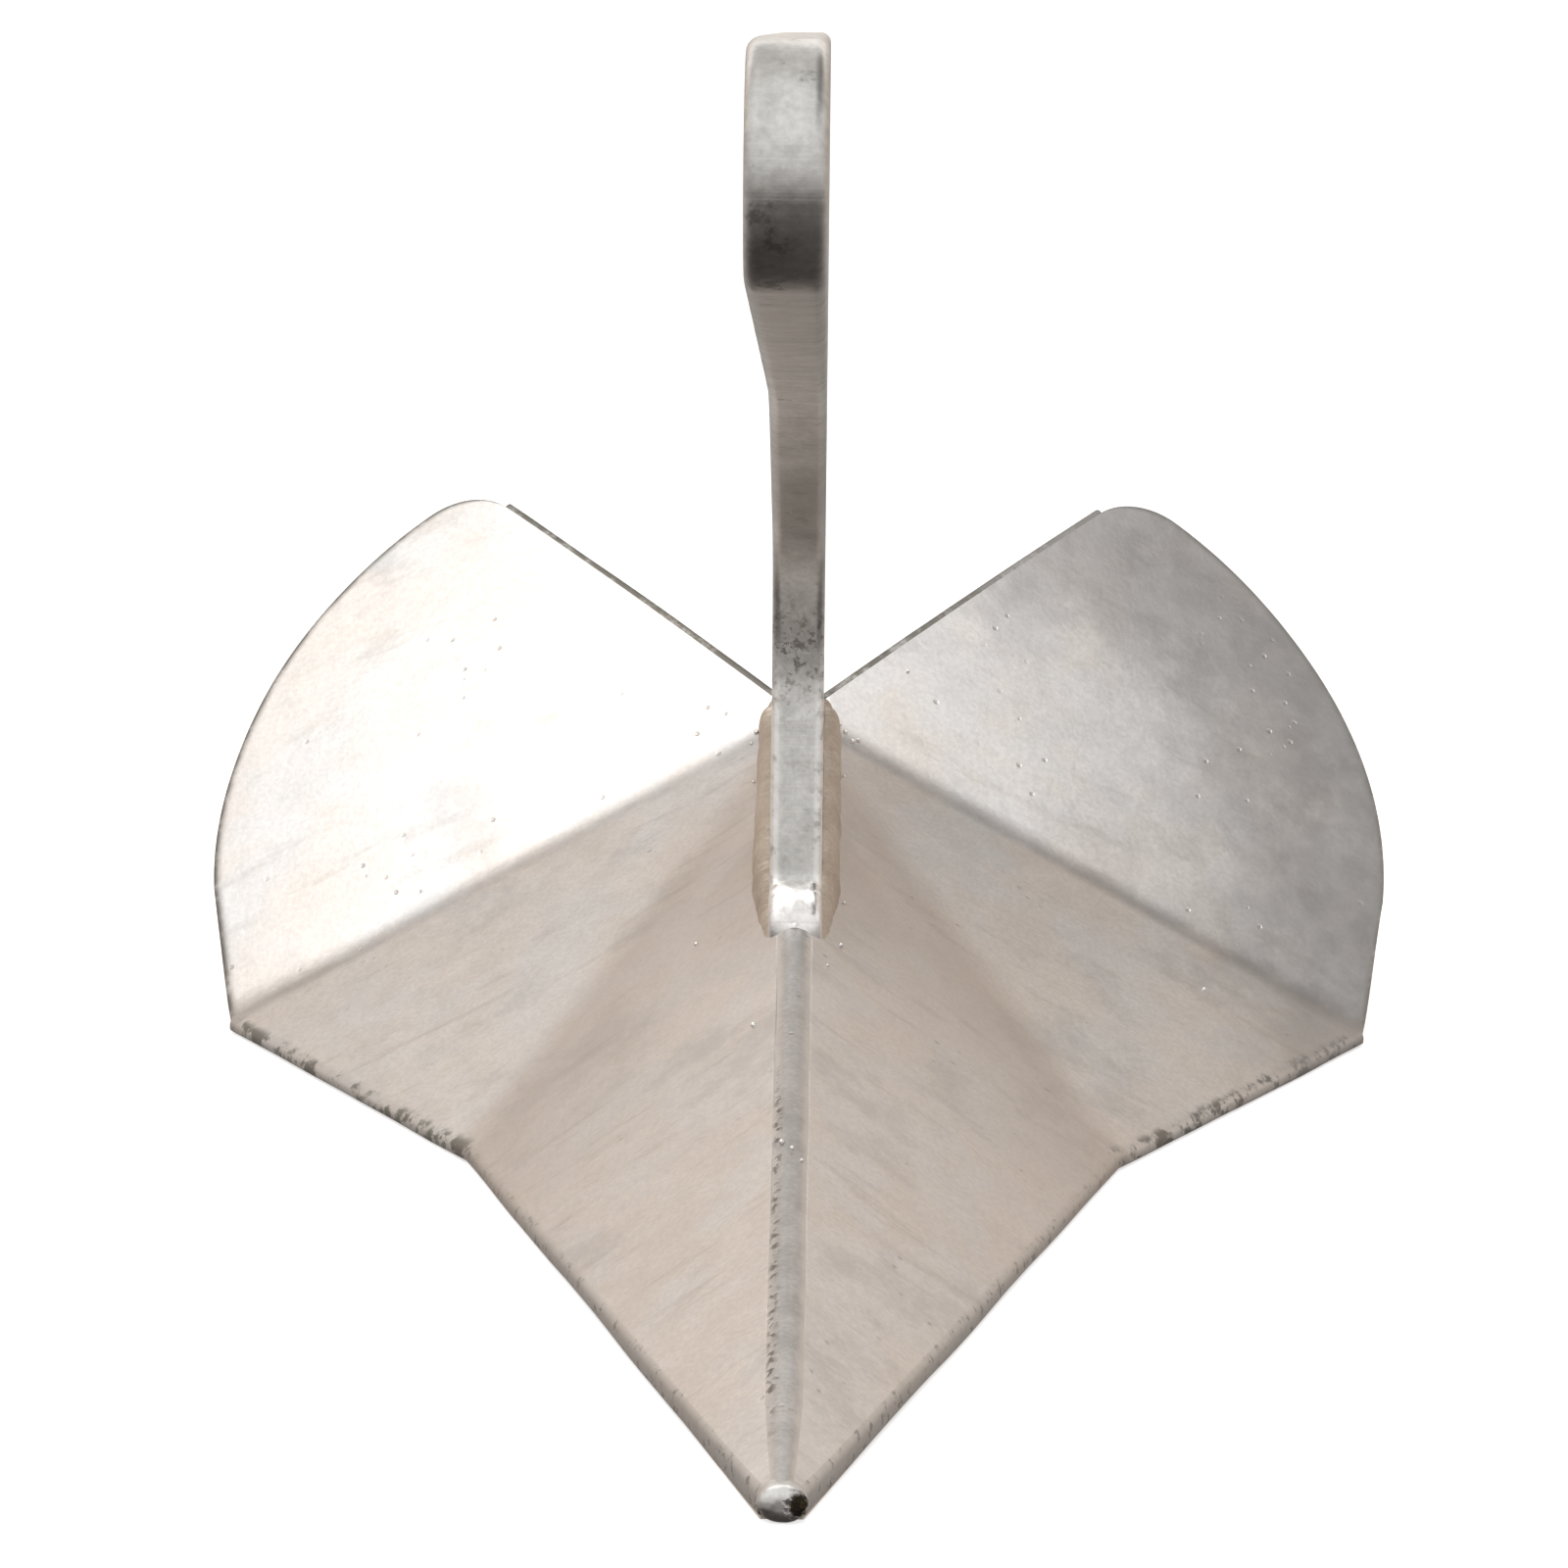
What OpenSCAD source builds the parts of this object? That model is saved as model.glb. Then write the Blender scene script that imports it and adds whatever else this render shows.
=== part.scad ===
// Fixed-shank plough anchor of about 18 kg, welded from plate and standing on its fluke.
// +Z is up, the nose and the shackle end point to -Y, and the plane X = 0 is the plane of symmetry.
// The origin is on the floor, under the centre of the bounding box.
// Inside the modules Y is measured back from the nose, and stand() moves the result to the origin.

/* [Fluke] */
// Height of the ridge above the floor at the nose
ridge_nose_h = 9.45; // [8:0.5:12]
// Rise of the ridge for each millimetre back from the nose
ridge_rise = 0.1928; // [0.17:0.01:0.22]
// Distance from the nose back to the crown, where the ridge and all the folds meet
crown_y = 478; // [460:2:500]
// Half the width of the blunt nose
nose_half_w = 5.5; // [4:0.5:8]
// Half the width at the waist, where the first fold reaches the leading edge
waist_x = 94; // [85:1:105]
// Distance from the nose back to the waist
waist_y = 315; // [300:5:330]
// Half the width at the shoulder, where the second fold reaches the leading edge
shoulder_x = 178.5; // [165:0.5:190]
// Distance from the nose back to the shoulder
shoulder_y = 468; // [455:1:480]
// Height of the top corner of the leading edge above the floor
edge_h = 4; // [3:0.5:6]
// Thickness of the pressed plate
plate_t = 5.5; // [4.5:0.5:8]
// Depth over which the first fold is rounded
waist_fold = 1.4; // [0.6:0.2:3]
// Depth over which the second fold is rounded
wing_fold = 3.4; // [1:0.2:6]

/* [Wing] */
// Back slope of the wing: its rise for each millimetre back from the nose
wing_rise = 0.976; // [0.85:0.02:1.15]
// Angle of the trailing edge from the second fold, in the wing's own plane
trailing_angle = 68.2; // [64:0.5:74]
// Length of the short straight edge above the shoulder
wing_toe_len = 58; // [50:1:70]
// Radius of the long outer edge
wing_arc_r = 135; // [115:1:150]
// Radius of the top corner
wing_corner_r = 22; // [18:1:32]

/* [Shank] */
// Thickness of the shank plate
shank_t = 15; // [12:0.5:18]
// Distance of the shackle hole in front of the nose
head_reach = 234.5; // [200:0.5:260]
// Height of the shackle hole above the floor
head_h = 335; // [320:1:350]
// Radius of the rounded head
head_r = 23; // [20:0.5:26]
// Radius of the shackle hole
shackle_r = 8; // [6:0.5:10]
// Radius of the tripping eye in the crown
trip_r = 8; // [6:0.5:10]
// Radius of the slow bend along the underside
under_bend_r = 300; // [200:10:400]
// Radius of the inner bend above the foot
inner_bend_r = 48; // [40:2:70]
// Radius of the outer bend
outer_bend_r = 190; // [140:5:210]

/* [Ballast] */
// Distance from the nose back to the rear face of the bulkhead
bulkhead_y = 240; // [220:2:280]
// Thickness of the cover and of the bulkhead
cover_t = 4; // [3:0.5:6]
// Length of the solid nose block
block_len = 42; // [35:1:60]

/* [Welds] */
// Half the width of the seam along the ridge
seam_half_w = 3; // [2:0.5:4]
// Leg of the fillets beside the shank
fillet_leg = 6; // [4:0.5:8]
// Length of the built-up nose cap
cap_len = 5; // [4:0.5:8]

/* [Hidden] */
$fn = 64;
shank_half = shank_t/2;

zinc = [0.76, 0.74, 0.72];
bead = [0.66, 0.62, 0.58];
lead = [0.42, 0.43, 0.46];

// ---- planes of the fluke, each as [slope in x, slope in y, height at the nose], for x >= 0 ----
crown = [0, crown_y, ridge_nose_h + ridge_rise*crown_y];
waist = [waist_x, waist_y, edge_h];
shoulder = [shoulder_x, shoulder_y, edge_h];

function plane_through(a, b, c) = let (n = cross(b - a, c - a)) [-n.x/n.z, -n.y/n.z, n*a/n.z];
function plane_z(f, p) = f.x*p.x + f.y*p.y + f.z;

share = plane_through([0, 0, ridge_nose_h], crown, waist);
flank = plane_through(crown, waist, shoulder);
wing_fall = (shoulder.z - crown.z - wing_rise*(shoulder.y - crown.y))/shoulder.x;
wing = [wing_fall, wing_rise, crown.z - wing_rise*crown.y];

// ---- upper surface: the three planes joined by rounded valleys, and the rounded ridge ----
function soft_max(a, b, k) = max(a, b) + pow(max(k - abs(a - b), 0), 2)/(4*k);
function body_z(p) = soft_max(plane_z(share, p), plane_z(flank, p), waist_fold);
function top_z(p) = soft_max(body_z(p), plane_z(wing, p), wing_fold);
function round_abs(x, c) = abs(x) < c ? (x*x + c*c)/(2*c) : abs(x);
function surface_z(x, y) = top_z([round_abs(x, seam_half_w), y]);
function unit(v) = v/norm(v);
function top_normal(p, e = 0.2) =
    unit([(top_z(p - [e, 0]) - top_z(p + [e, 0]))/(2*e), (top_z(p - [0, e]) - top_z(p + [0, e]))/(2*e), 1]);
// Height of the plate's underside on the ploughshare
share_drop = plate_t*norm([share.x, share.y, 1]);
function under_z(x, y) = plane_z(share, [abs(x), y]) - share_drop;
// Distance from the plane of symmetry at which that underside is at height h
function under_x(y, h = 0) = (share.z + share.y*y - share_drop - h)/-share.x;

// ---- outline of the right blade ----
function lerp(a, b, t) = a + (b - a)*t;
// Shares from 0 to 1, closer together near the end or near both ends
function to_end(n, q = 2.2) = [for (i = [0:n]) 1 - pow(1 - i/n, q)];
function to_ends(n) = [for (i = [0:n]) (1 - cos(180*i/n))/2];

// The wing's own axes: along the second fold, and up the wing from it
wing_normal = unit([-wing.x, -wing.y, 1]);
along_fold = unit(shoulder - crown);
up_wing = cross(wing_normal, along_fold);
fold_len = norm(shoulder - crown);
// Direction of the short edge above the shoulder, and where the long outer edge starts on its circle
toe_angle = 101.4;
arc_start = [fold_len, 0] + wing_toe_len*[cos(toe_angle), sin(toe_angle)];
arc_start_angle = 15.5;
arc_centre = arc_start - wing_arc_r*[cos(arc_start_angle), sin(arc_start_angle)];
trailing_dir = [cos(trailing_angle), sin(trailing_angle)];
trailing_in = [sin(trailing_angle), -cos(trailing_angle)];
// Centre of the top corner: a corner radius inside both the trailing edge and the outer arc
from_arc = wing_corner_r*trailing_in - arc_centre;
corner_run = -from_arc*trailing_dir
    + sqrt(pow(from_arc*trailing_dir, 2) - from_arc*from_arc + pow(wing_arc_r - wing_corner_r, 2));
corner_centre = wing_corner_r*trailing_in + corner_run*trailing_dir;
arc_end_angle = atan2(corner_centre.y - arc_centre.y, corner_centre.x - arc_centre.x);
function arc(c, r, a0, a1, n) = [for (i = [0:n]) let (a = lerp(a0, a1, i/n)) c + r*[cos(a), sin(a)]];
wing_edge_flat = concat(
    [for (t = to_ends(10)) lerp([fold_len, 0], arc_start, t)],
    [for (i = [1:18]) arc(arc_centre, wing_arc_r, arc_start_angle, arc_end_angle, 18)[i]],
    [for (i = [1:8]) arc(corner_centre, wing_corner_r, arc_end_angle, trailing_angle + 90, 8)[i]]);
wing_edge = [for (q = wing_edge_flat) let (p = crown + q.x*along_fold + q.y*up_wing) [p.x, p.y]];

// Each ray of the blade runs from its inner edge to its outer edge, as [inner point, outer point, upright].
// The last value is true where the plate's edge is cut upright, along the leading edge.
nose_corner = [nose_half_w, cap_len];
waist_ray_y = crown_y - shank_half*(crown_y - waist_y)/waist_x;
// Distance from the nose back to the slot that the shank stands in
slot_y = 319;
slot_share = (slot_y - cap_len)/(waist_ray_y - cap_len);
share_shares = concat(
    [for (t = to_ends(9)) t*slot_share],
    [for (t = to_end(12)) lerp(slot_share + 0.002, 1, t)]);
share_rays = [for (t = share_shares)
    [[t > slot_share ? shank_half : seam_half_w, lerp(cap_len, waist_ray_y, t)],
     lerp(nose_corner, [waist_x, waist_y], t), true]];
function from_crown(p, upright) = [[shank_half, crown_y + shank_half*(p.y - crown_y)/p.x], p, upright];
flank_rays = [for (t = to_ends(26)) if (t > 0)
    from_crown(lerp([waist_x, waist_y], [shoulder_x, shoulder_y], t), true)];
wing_rays = [for (i = [1:len(wing_edge) - 1]) from_crown(wing_edge[i], false)];
rays = concat(share_rays, flank_rays, wing_rays);

// Points across each ray, closer together at the two edges
across = [0, 0.04, 0.15, 0.35, 0.6, 0.82, 0.94, 0.985, 1];

function under(p, n, upright) =
    upright ? [p.x, p.y, max(0, p.z - plate_t/n.z)] : p - n*min(plate_t, p.z/n.z);
function ray_ring(ray) =
    let (tops = [for (t = across) let (q = lerp(ray[0], ray[1], t)) [q.x, q.y, top_z(q)]],
         last = len(across) - 1)
    concat(tops, [for (i = [last:-1:0])
        under(tops[i], top_normal(tops[i]), i == 0 || (i == last && ray[2]))]);

// ---- solids through a row of closed rings, and between two of them ----
module loft(rings) {
    n = len(rings[0]);
    m = len(rings);
    polyhedron(
        points = [for (r = rings) each r],
        faces = concat(
            [[for (i = [n - 1:-1:0]) i]],
            [[for (i = [0:n - 1]) (m - 1)*n + i]],
            [for (j = [0:m - 2]) for (i = [0:n - 1]) let (k = (i + 1)%n)
                each [[j*n + i, j*n + k, (j + 1)*n + k], [j*n + i, (j + 1)*n + k, (j + 1)*n + i]]]));
}
module mirrored(left) { mirror([left ? 1 : 0, 0, 0]) children(); }

// ---- shank profile, in the plane of symmetry, as [distance back from the nose, height] ----
// The foot steps forward under the front edge, and the tang reaches down through the slot
foot_front = slot_y;
foot_back = 332;
foot_h = 5;
heel_y = 484;
tang_depth = 18;
function ridge_z(y) = ridge_nose_h + ridge_rise*y;
head_centre = [-head_reach, head_h];
// Fall of the arm's underside, of the steeper throat behind it and of the arm's top, in degrees
under_slope = 9.9;
throat_slope = 23.5;
top_slope = 3.5;
// A point on the throat
throat_start = [187, 238.5];
// Lean of the front edge and of the heel from upright
front_lean = 8.8;
heel_lean = 10;
// Direction of the top of the foot, which follows the ridge
foot_turn = -180 - atan(ridge_rise);
function on_line(p, angle, d) = p + d*[cos(angle), sin(angle)];
// Where two lines, each given by a point and an angle, cross
function crossing(p, a, q, b) = let (d = q - p) on_line(p, a, (d.x*sin(b) - d.y*cos(b))/sin(b - a));
under_start = head_centre + head_r*[-sin(under_slope), -cos(under_slope)];
top_start = head_centre + head_r*[sin(top_slope), cos(top_slope)];
front_foot = [foot_back, ridge_z(foot_back) + foot_h];
heel = [heel_y, ridge_z(heel_y)];
throat_corner = crossing(under_start, -under_slope, throat_start, -throat_slope);
inner_corner = crossing(throat_start, -throat_slope, front_foot, 90 - front_lean);
outer_corner = crossing(top_start, -top_slope, heel, 90 + heel_lean);
// An arc of radius r that rounds the corner c between the directions a (coming in) and b (going out)
function rounded(c, a, b, r, n) =
    let (turn = b - a, side = sign(turn), start = on_line(c, a, -r*tan(abs(turn)/2)),
         centre = on_line(start, a + 90*side, r))
    [for (i = [0:n]) centre + r*[cos(a - 90*side + turn*i/n), sin(a - 90*side + turn*i/n)]];
shank_profile = concat(
    rounded(throat_corner, -under_slope, -throat_slope, under_bend_r, 10),
    rounded(inner_corner, -throat_slope, -90 - front_lean, inner_bend_r, 24),
    rounded(front_foot, -90 - front_lean, foot_turn, 4, 6),
    rounded([foot_front, ridge_z(foot_front) + foot_h], foot_turn, -90, 3, 6),
    [[foot_front, ridge_z(foot_front) - tang_depth], [heel_y - 3, ridge_z(heel_y) - tang_depth], heel],
    rounded(outer_corner, 90 + heel_lean, 180 - top_slope, outer_bend_r, 40),
    arc(head_centre, head_r, 90 - top_slope, 270 - under_slope, 32));
// Centre of the tripping eye
trip_eye = [446, 152];

// ---- placing: the middle of the bounding box comes to the origin ----
wing_rays_rear = max([for (r = wing_rays) for (p = ray_ring(r)) p.y]);
origin_y = (wing_rays_rear - head_reach - head_r)/2;
module stand() { translate([0, -origin_y, 0]) children(); }
// A hole through the shank, along X
module cross_hole(centre, r) {
    translate([0, centre.x, centre.y]) rotate([0, 90, 0]) cylinder(r = r, h = shank_t + 2, center = true);
}

// ---- sub-parts ----
module shank() {
    stand() color(zinc) difference() {
        rotate([90, 0, 90]) translate([0, 0, -shank_half]) linear_extrude(shank_t) polygon(shank_profile);
        cross_hole(head_centre, shackle_r);
        cross_hole(trip_eye, trip_r);
    }
}

module blade(left) {
    stand() color(zinc) mirrored(left) loft([for (r = rays) ray_ring(r)]);
}

// Seam that joins the two blades from the nose cap to the foot of the shank
module ridge_weld() {
    xs = [for (i = [-4:4]) seam_half_w*i/4];
    stand() color(bead) loft([for (y = [cap_len, foot_front]) let (low = max(0, under_z(seam_half_w, y)))
        concat([for (x = xs) [x, y, surface_z(x, y)]], [[seam_half_w, y, low], [-seam_half_w, y, low]])]);
}

// Blunt weld-built end of the nose
module nose_cap() {
    function face(y, inset) =
        let (w = nose_half_w - inset, foot = inset/2, side = edge_h + 1.6 - inset,
             top = ridge_z(y) - 1 - inset, brow = (side + top)/2 + 0.4)
        [[-w + inset, y, foot], [-w, y, foot + inset], [-w, y, side], [-w/2, y, brow], [0, y, top],
         [w/2, y, brow], [w, y, side], [w, y, foot + inset], [w - inset, y, foot]];
    stand() color(bead) loft([face(0, 1.6), face(1.2, 0.6), face(cap_len, 0.02)]);
}

// Steel wedge that closes the narrow front of the hollow between the blades
module nose_block() {
    stand() color(zinc) loft([for (y = [cap_len, block_len])
        [[-under_x(y), y, 0], [0, y, under_z(0, y) - 0.2], [under_x(y), y, 0]]]);
}

// A slice of the hollow between the blades, from height h up
function hollow(y, h) =
    [[-under_x(y, h), y, h], [-seam_half_w, y, under_z(seam_half_w, y)],
     [seam_half_w, y, under_z(seam_half_w, y)], [under_x(y, h), y, h]];
bulkhead_front = bulkhead_y - cover_t;
seam_w = 2;

module ballast_lead() {
    stand() color(lead) loft([hollow(block_len, cover_t), hollow(bulkhead_front, cover_t)]);
}

module ballast_cover() {
    function slice(y) = let (low = under_x(y) - seam_w, mid = under_x(y, seam_w), top = under_x(y, cover_t))
        [[-low, y, 0], [-mid, y, seam_w], [-top, y, cover_t],
         [top, y, cover_t], [mid, y, seam_w], [low, y, 0]];
    stand() color(zinc) loft([slice(block_len), slice(bulkhead_front)]);
}

module ballast_bulkhead() {
    stand() color(zinc) loft([hollow(bulkhead_front, 0), hollow(bulkhead_y, 0)]);
}

// Flush seam between the cover and a blade
module cover_weld(left) {
    stand() color(bead) mirrored(left) loft([for (y = [block_len, bulkhead_front])
        [[under_x(y) - seam_w, y, 0], [under_x(y, seam_w), y, seam_w], [under_x(y), y, 0]]]);
}

// Fillets between the bulkhead and the undersides of both blades
module bulkhead_weld() {
    leg = 5;
    function slice(x) = let (corner = under_z(x, bulkhead_y))
        [[x, bulkhead_y, corner - leg], [x, bulkhead_y, corner],
         [x, bulkhead_y + leg, under_z(x, bulkhead_y + leg)]];
    for (left = [false, true])
        stand() color(bead) mirrored(left) loft([slice(seam_half_w + 1), slice(under_x(bulkhead_y, leg))]);
}

// Fillet between the side of the shank and the blade
module shank_weld(left) {
    stations = [for (i = [0:16]) lerp(foot_front + 1, heel_y - 1, i/16)];
    rise = 5;
    x0 = shank_half;
    x1 = shank_half + fillet_leg;
    function slice(y) = [[x0, y, surface_z(x0, y)], [x0, y, surface_z(x0, y) + rise],
                         [x0 + 0.4*fillet_leg, y, surface_z(x0 + 0.4*fillet_leg, y) + 0.62*rise],
                         [x1, y, surface_z(x1, y) + 0.3], [x1, y, surface_z(x1, y)]];
    stand() color(bead) mirrored(left) loft([for (y = stations) slice(y)]);
}

// Bead round the front of the foot
module toe_weld() {
    half_w = shank_half + 4;
    length = 7;
    function slice(x) = let (h = 4*sqrt(1 - pow(x/(half_w + 0.5), 2)))
        [[x, foot_front, surface_z(x, foot_front)], [x, foot_front, surface_z(x, foot_front) + h],
         [x, foot_front - 0.5*length, surface_z(x, foot_front - 0.5*length) + 0.75*h],
         [x, foot_front - length, surface_z(x, foot_front - length)]];
    stand() color(bead) loft([for (i = [-10:10]) slice(half_w*i/10)]);
}

// Fillet between the tang of the shank and the underside of a blade
module keel_weld(left) {
    leg = 5;
    function slice(y) = let (corner = under_z(shank_half, y))
        [[shank_half, y, corner - leg], [shank_half, y, corner],
         [shank_half + leg, y, under_z(shank_half + leg, y)]];
    stand() color(bead) mirrored(left) loft([slice(foot_front + 2), slice(crown_y - 34)]);
}

shank();
blade(true);  // blade_left
blade(false);  // blade_right
ridge_weld();
nose_cap();
nose_block();
ballast_lead();
ballast_cover();
ballast_bulkhead();
cover_weld(true);  // cover_weld_left
cover_weld(false);  // cover_weld_right
bulkhead_weld();
shank_weld(true);  // shank_weld_left
shank_weld(false);  // shank_weld_right
toe_weld();
keel_weld(true);  // keel_weld_left
keel_weld(false);  // keel_weld_right
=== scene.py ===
"""Looks of a fixed-shank plough anchor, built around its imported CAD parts.

Lengths are in millimetres in the anchor's own frame: x across, y back from the nose, z up from the floor.
mesh_piece() turns them into metres in the shared frame.
"""

import math

import bmesh
import bpy
import numpy as np
from mathutils import Matrix, Vector, noise


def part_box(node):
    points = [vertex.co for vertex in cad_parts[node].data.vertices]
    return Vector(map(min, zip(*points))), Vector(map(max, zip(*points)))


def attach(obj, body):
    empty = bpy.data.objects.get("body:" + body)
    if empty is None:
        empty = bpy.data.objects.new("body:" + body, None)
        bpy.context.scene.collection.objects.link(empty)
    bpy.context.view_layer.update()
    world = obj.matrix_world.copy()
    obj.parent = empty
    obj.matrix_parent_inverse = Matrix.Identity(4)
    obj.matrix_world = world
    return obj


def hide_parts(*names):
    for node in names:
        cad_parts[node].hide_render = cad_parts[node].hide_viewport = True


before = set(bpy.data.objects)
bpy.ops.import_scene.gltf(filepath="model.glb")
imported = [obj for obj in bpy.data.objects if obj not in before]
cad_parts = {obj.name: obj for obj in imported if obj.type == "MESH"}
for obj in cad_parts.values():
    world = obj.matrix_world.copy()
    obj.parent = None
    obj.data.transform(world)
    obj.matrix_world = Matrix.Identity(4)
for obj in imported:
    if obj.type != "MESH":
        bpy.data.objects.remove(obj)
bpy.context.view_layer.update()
scene = bpy.context.scene
MM = 0.001
nose_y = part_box("nose_cap")[0].y

# ---------------------------------------------------------------- driving dimensions
# These are the CAD's, except that the folds are softer, the seam is wider where it blends into the plates,
# the wings bow a little, the shank's fillets are smaller, and the foot's front is set back under its weld.
NOSE_HALF_W = 5.5
CAP_LEN = 5.0
RIDGE_NOSE_H = 9.45
RIDGE_RISE = 0.1928
CROWN_Y = 478.0
WAIST = (94.0, 315.0)
SHOULDER = (178.5, 468.0)
EDGE_H = 4.0
PLATE_T = 5.5
WAIST_FOLD = 4.0
WING_FOLD = 3.4
WING_RISE = 0.976
WING_BOW = 0.00020
WING_TOE_LEN = 58.0
WING_TOE_ANGLE = 101.4
WING_ARC_R = 135.0
WING_ARC_START = 15.5
WING_CORNER_R = 22.0
TRAILING_ANGLE = 68.2
SHANK_T = 15.0
HEAD = np.array([-234.5, 335.0])
HEAD_R = 23.0
SHACKLE_R = 8.0
TRIP_EYE = np.array([446.0, 152.0])
TRIP_R = 8.0
SEAM_HALF_W = 4.6
FOOT_FRONT = 323.0
HEEL_Y = 484.0
FILLET_LEG = 5.4


# ---------------------------------------------------------------- camera, as the photograph was taken
def make_camera():
    data = bpy.data.cameras.new("camera")
    cam = bpy.data.objects.new("camera", data)
    scene.collection.objects.link(cam)
    scene.camera = cam
    data.sensor_width = 36.0
    data.lens = 127.1
    data.clip_start = 0.05
    data.clip_end = 60.0
    cam.location = (0.0080, nose_y - 1.2254, 0.4205)
    pitch, yaw, roll = math.radians(11.302), math.radians(-0.428), math.radians(0.574)
    turn = Matrix.Rotation(-yaw, 3, "Z") @ Matrix.Rotation(math.pi / 2 - pitch, 3, "X")
    cam.rotation_mode = "QUATERNION"
    cam.rotation_quaternion = (turn @ Matrix.Rotation(roll, 3, "Z")).to_quaternion()
    return cam


make_camera()


# ---------------------------------------------------------------- the fluke's upper surface
def plane_through(a, b, c):
    """Slope in x, slope in y and height at the nose of the plane through three points."""
    n = np.cross(np.subtract(b, a), np.subtract(c, a))
    return np.array([-n[0] / n[2], -n[1] / n[2], np.dot(n, a) / n[2]])


CROWN = np.array([0.0, CROWN_Y, RIDGE_NOSE_H + RIDGE_RISE * CROWN_Y])
SHOULDER_3D = np.array([*SHOULDER, EDGE_H])
SHARE = plane_through((0, 0, RIDGE_NOSE_H), CROWN, (*WAIST, EDGE_H))
FLANK = plane_through(CROWN, (*WAIST, EDGE_H), SHOULDER_3D)
WING_FALL = (EDGE_H - CROWN[2] - WING_RISE * (SHOULDER[1] - CROWN_Y)) / SHOULDER[0]
WING = np.array([WING_FALL, WING_RISE, CROWN[2] - WING_RISE * CROWN_Y])


def plane_z(plane, x, y):
    return plane[0] * x + plane[1] * y + plane[2]


def soft_max(a, b, k):
    return np.maximum(a, b) + np.maximum(k - np.abs(a - b), 0.0) ** 2 / (4.0 * k)


def fluke_z(x, y):
    """Height of the fluke's upper surface, with both pressed folds rounded."""
    x = np.abs(x)
    body = soft_max(plane_z(SHARE, x, y), plane_z(FLANK, x, y), WAIST_FOLD)
    reach = np.hypot(x, y - CROWN_Y)
    bowed = plane_z(WING, x, y) - WING_BOW * np.maximum(reach - 50.0, 0.0) ** 2
    return soft_max(body, bowed, WING_FOLD)


def fluke_normal(x, y):
    """Unit normal of the fluke's upper surface, from its slope over a short step each way."""
    step = 0.3
    dx = (fluke_z(x + step, y) - fluke_z(x - step, y)) / (2 * step)
    dy = (fluke_z(x, y + step) - fluke_z(x, y - step)) / (2 * step)
    n = np.stack([-dx, -dy, np.ones_like(dx)], axis=-1)
    return n / np.linalg.norm(n, axis=-1, keepdims=True)


def on_fluke(xy):
    return np.concatenate([xy, fluke_z(xy[..., 0], xy[..., 1])[..., None]], axis=-1)


# ---------------------------------------------------------------- mesh helpers
def mesh_piece(name, verts, faces, *nodes):
    """Makes an object from points in millimetres, and hides the CAD nodes it stands for."""
    verts = np.asarray(verts, dtype=float)
    placed = verts * MM
    placed[:, 1] += nose_y
    me = bpy.data.meshes.new(name)
    me.from_pydata(placed.tolist(), [], [list(map(int, f)) for f in faces])
    bm = bmesh.new()
    bm.from_mesh(me)
    bmesh.ops.recalc_face_normals(bm, faces=bm.faces)
    bm.to_mesh(me)
    bm.free()
    me.polygons.foreach_set("use_smooth", [True] * len(me.polygons))
    obj = bpy.data.objects.new(name, me)
    scene.collection.objects.link(obj)
    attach(obj, "root")
    if nodes:
        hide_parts(*nodes)
    return obj


def loft_faces(rows, columns):
    """Quads through rows of points, each row a closed ring of the given number of columns."""
    faces = []
    for j in range(rows - 1):
        for i in range(columns):
            k = (i + 1) % columns
            faces.append((j * columns + i, j * columns + k, (j + 1) * columns + k, (j + 1) * columns + i))
    return faces


def end_caps(rows, columns, start=0):
    """One flat face over the first ring and one over the last."""
    last = start + (rows - 1) * columns
    return [tuple(range(start, start + columns)), tuple(range(last, last + columns))]


def solid_loft(name, rings, node):
    """Closed solid through a row of rings, standing for one CAD node."""
    columns = len(rings[0])
    faces = loft_faces(len(rings), columns) + end_caps(len(rings), columns)
    return mesh_piece(name, np.concatenate(rings), faces, node)


def strip_cap(start, columns):
    """Closes a ring whose second half runs back beside its first, with a strip of quads."""
    faces = []
    for i in range(columns // 2 - 1):
        faces.append((start + i, start + i + 1, start + columns - 2 - i, start + columns - 1 - i))
    return faces


def fractal(p, size, seed, octaves=3):
    """Smooth noise between about -1 and 1, with lumps of the given size in millimetres."""
    q = Vector((p[0] / size + seed, p[1] / size - seed, p[2] / size + 2 * seed))
    total, weight = 0.0, 1.0
    for _ in range(octaves):
        total += weight * noise.noise(q)
        q = q * 2.03
        weight *= 0.5
    return total


def uneven(obj, layers, seed=0.0):
    """Moves each vertex along its normal by layers of (height, lump size), both in millimetres."""
    me = obj.data
    n = len(me.vertices)
    co = np.empty(n * 3)
    me.vertices.foreach_get("co", co)
    co = co.reshape(-1, 3)
    normals = np.array([v.normal[:] for v in me.vertices])
    shift = np.zeros(n)
    for index, (height, size) in enumerate(layers):
        for i in range(n):
            shift[i] += height * fractal(co[i] / MM, size, seed + 7.3 * index, 2)
    co += normals * (shift * MM)[:, None]
    co[:, 2] = np.maximum(co[:, 2], 0.0)
    me.vertices.foreach_set("co", co.ravel())
    me.update()


def paint(obj, name, values):
    """Stores one number per vertex for a material to read."""
    layer = obj.data.attributes.new(name, "FLOAT", "POINT")
    layer.data.foreach_set("value", np.asarray(values, dtype=float))


def points_mm(obj):
    co = np.empty(len(obj.data.vertices) * 3)
    obj.data.vertices.foreach_get("co", co)
    co = co.reshape(-1, 3) / MM
    co[:, 1] -= nose_y / MM
    return co


def bezier(a, b, c, count):
    """Points of a curve from a to c pulled towards b, without its two ends repeated."""
    return [(1 - t) ** 2 * a + 2 * t * (1 - t) * b + t * t * c for t in np.linspace(0, 1, count)]


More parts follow.
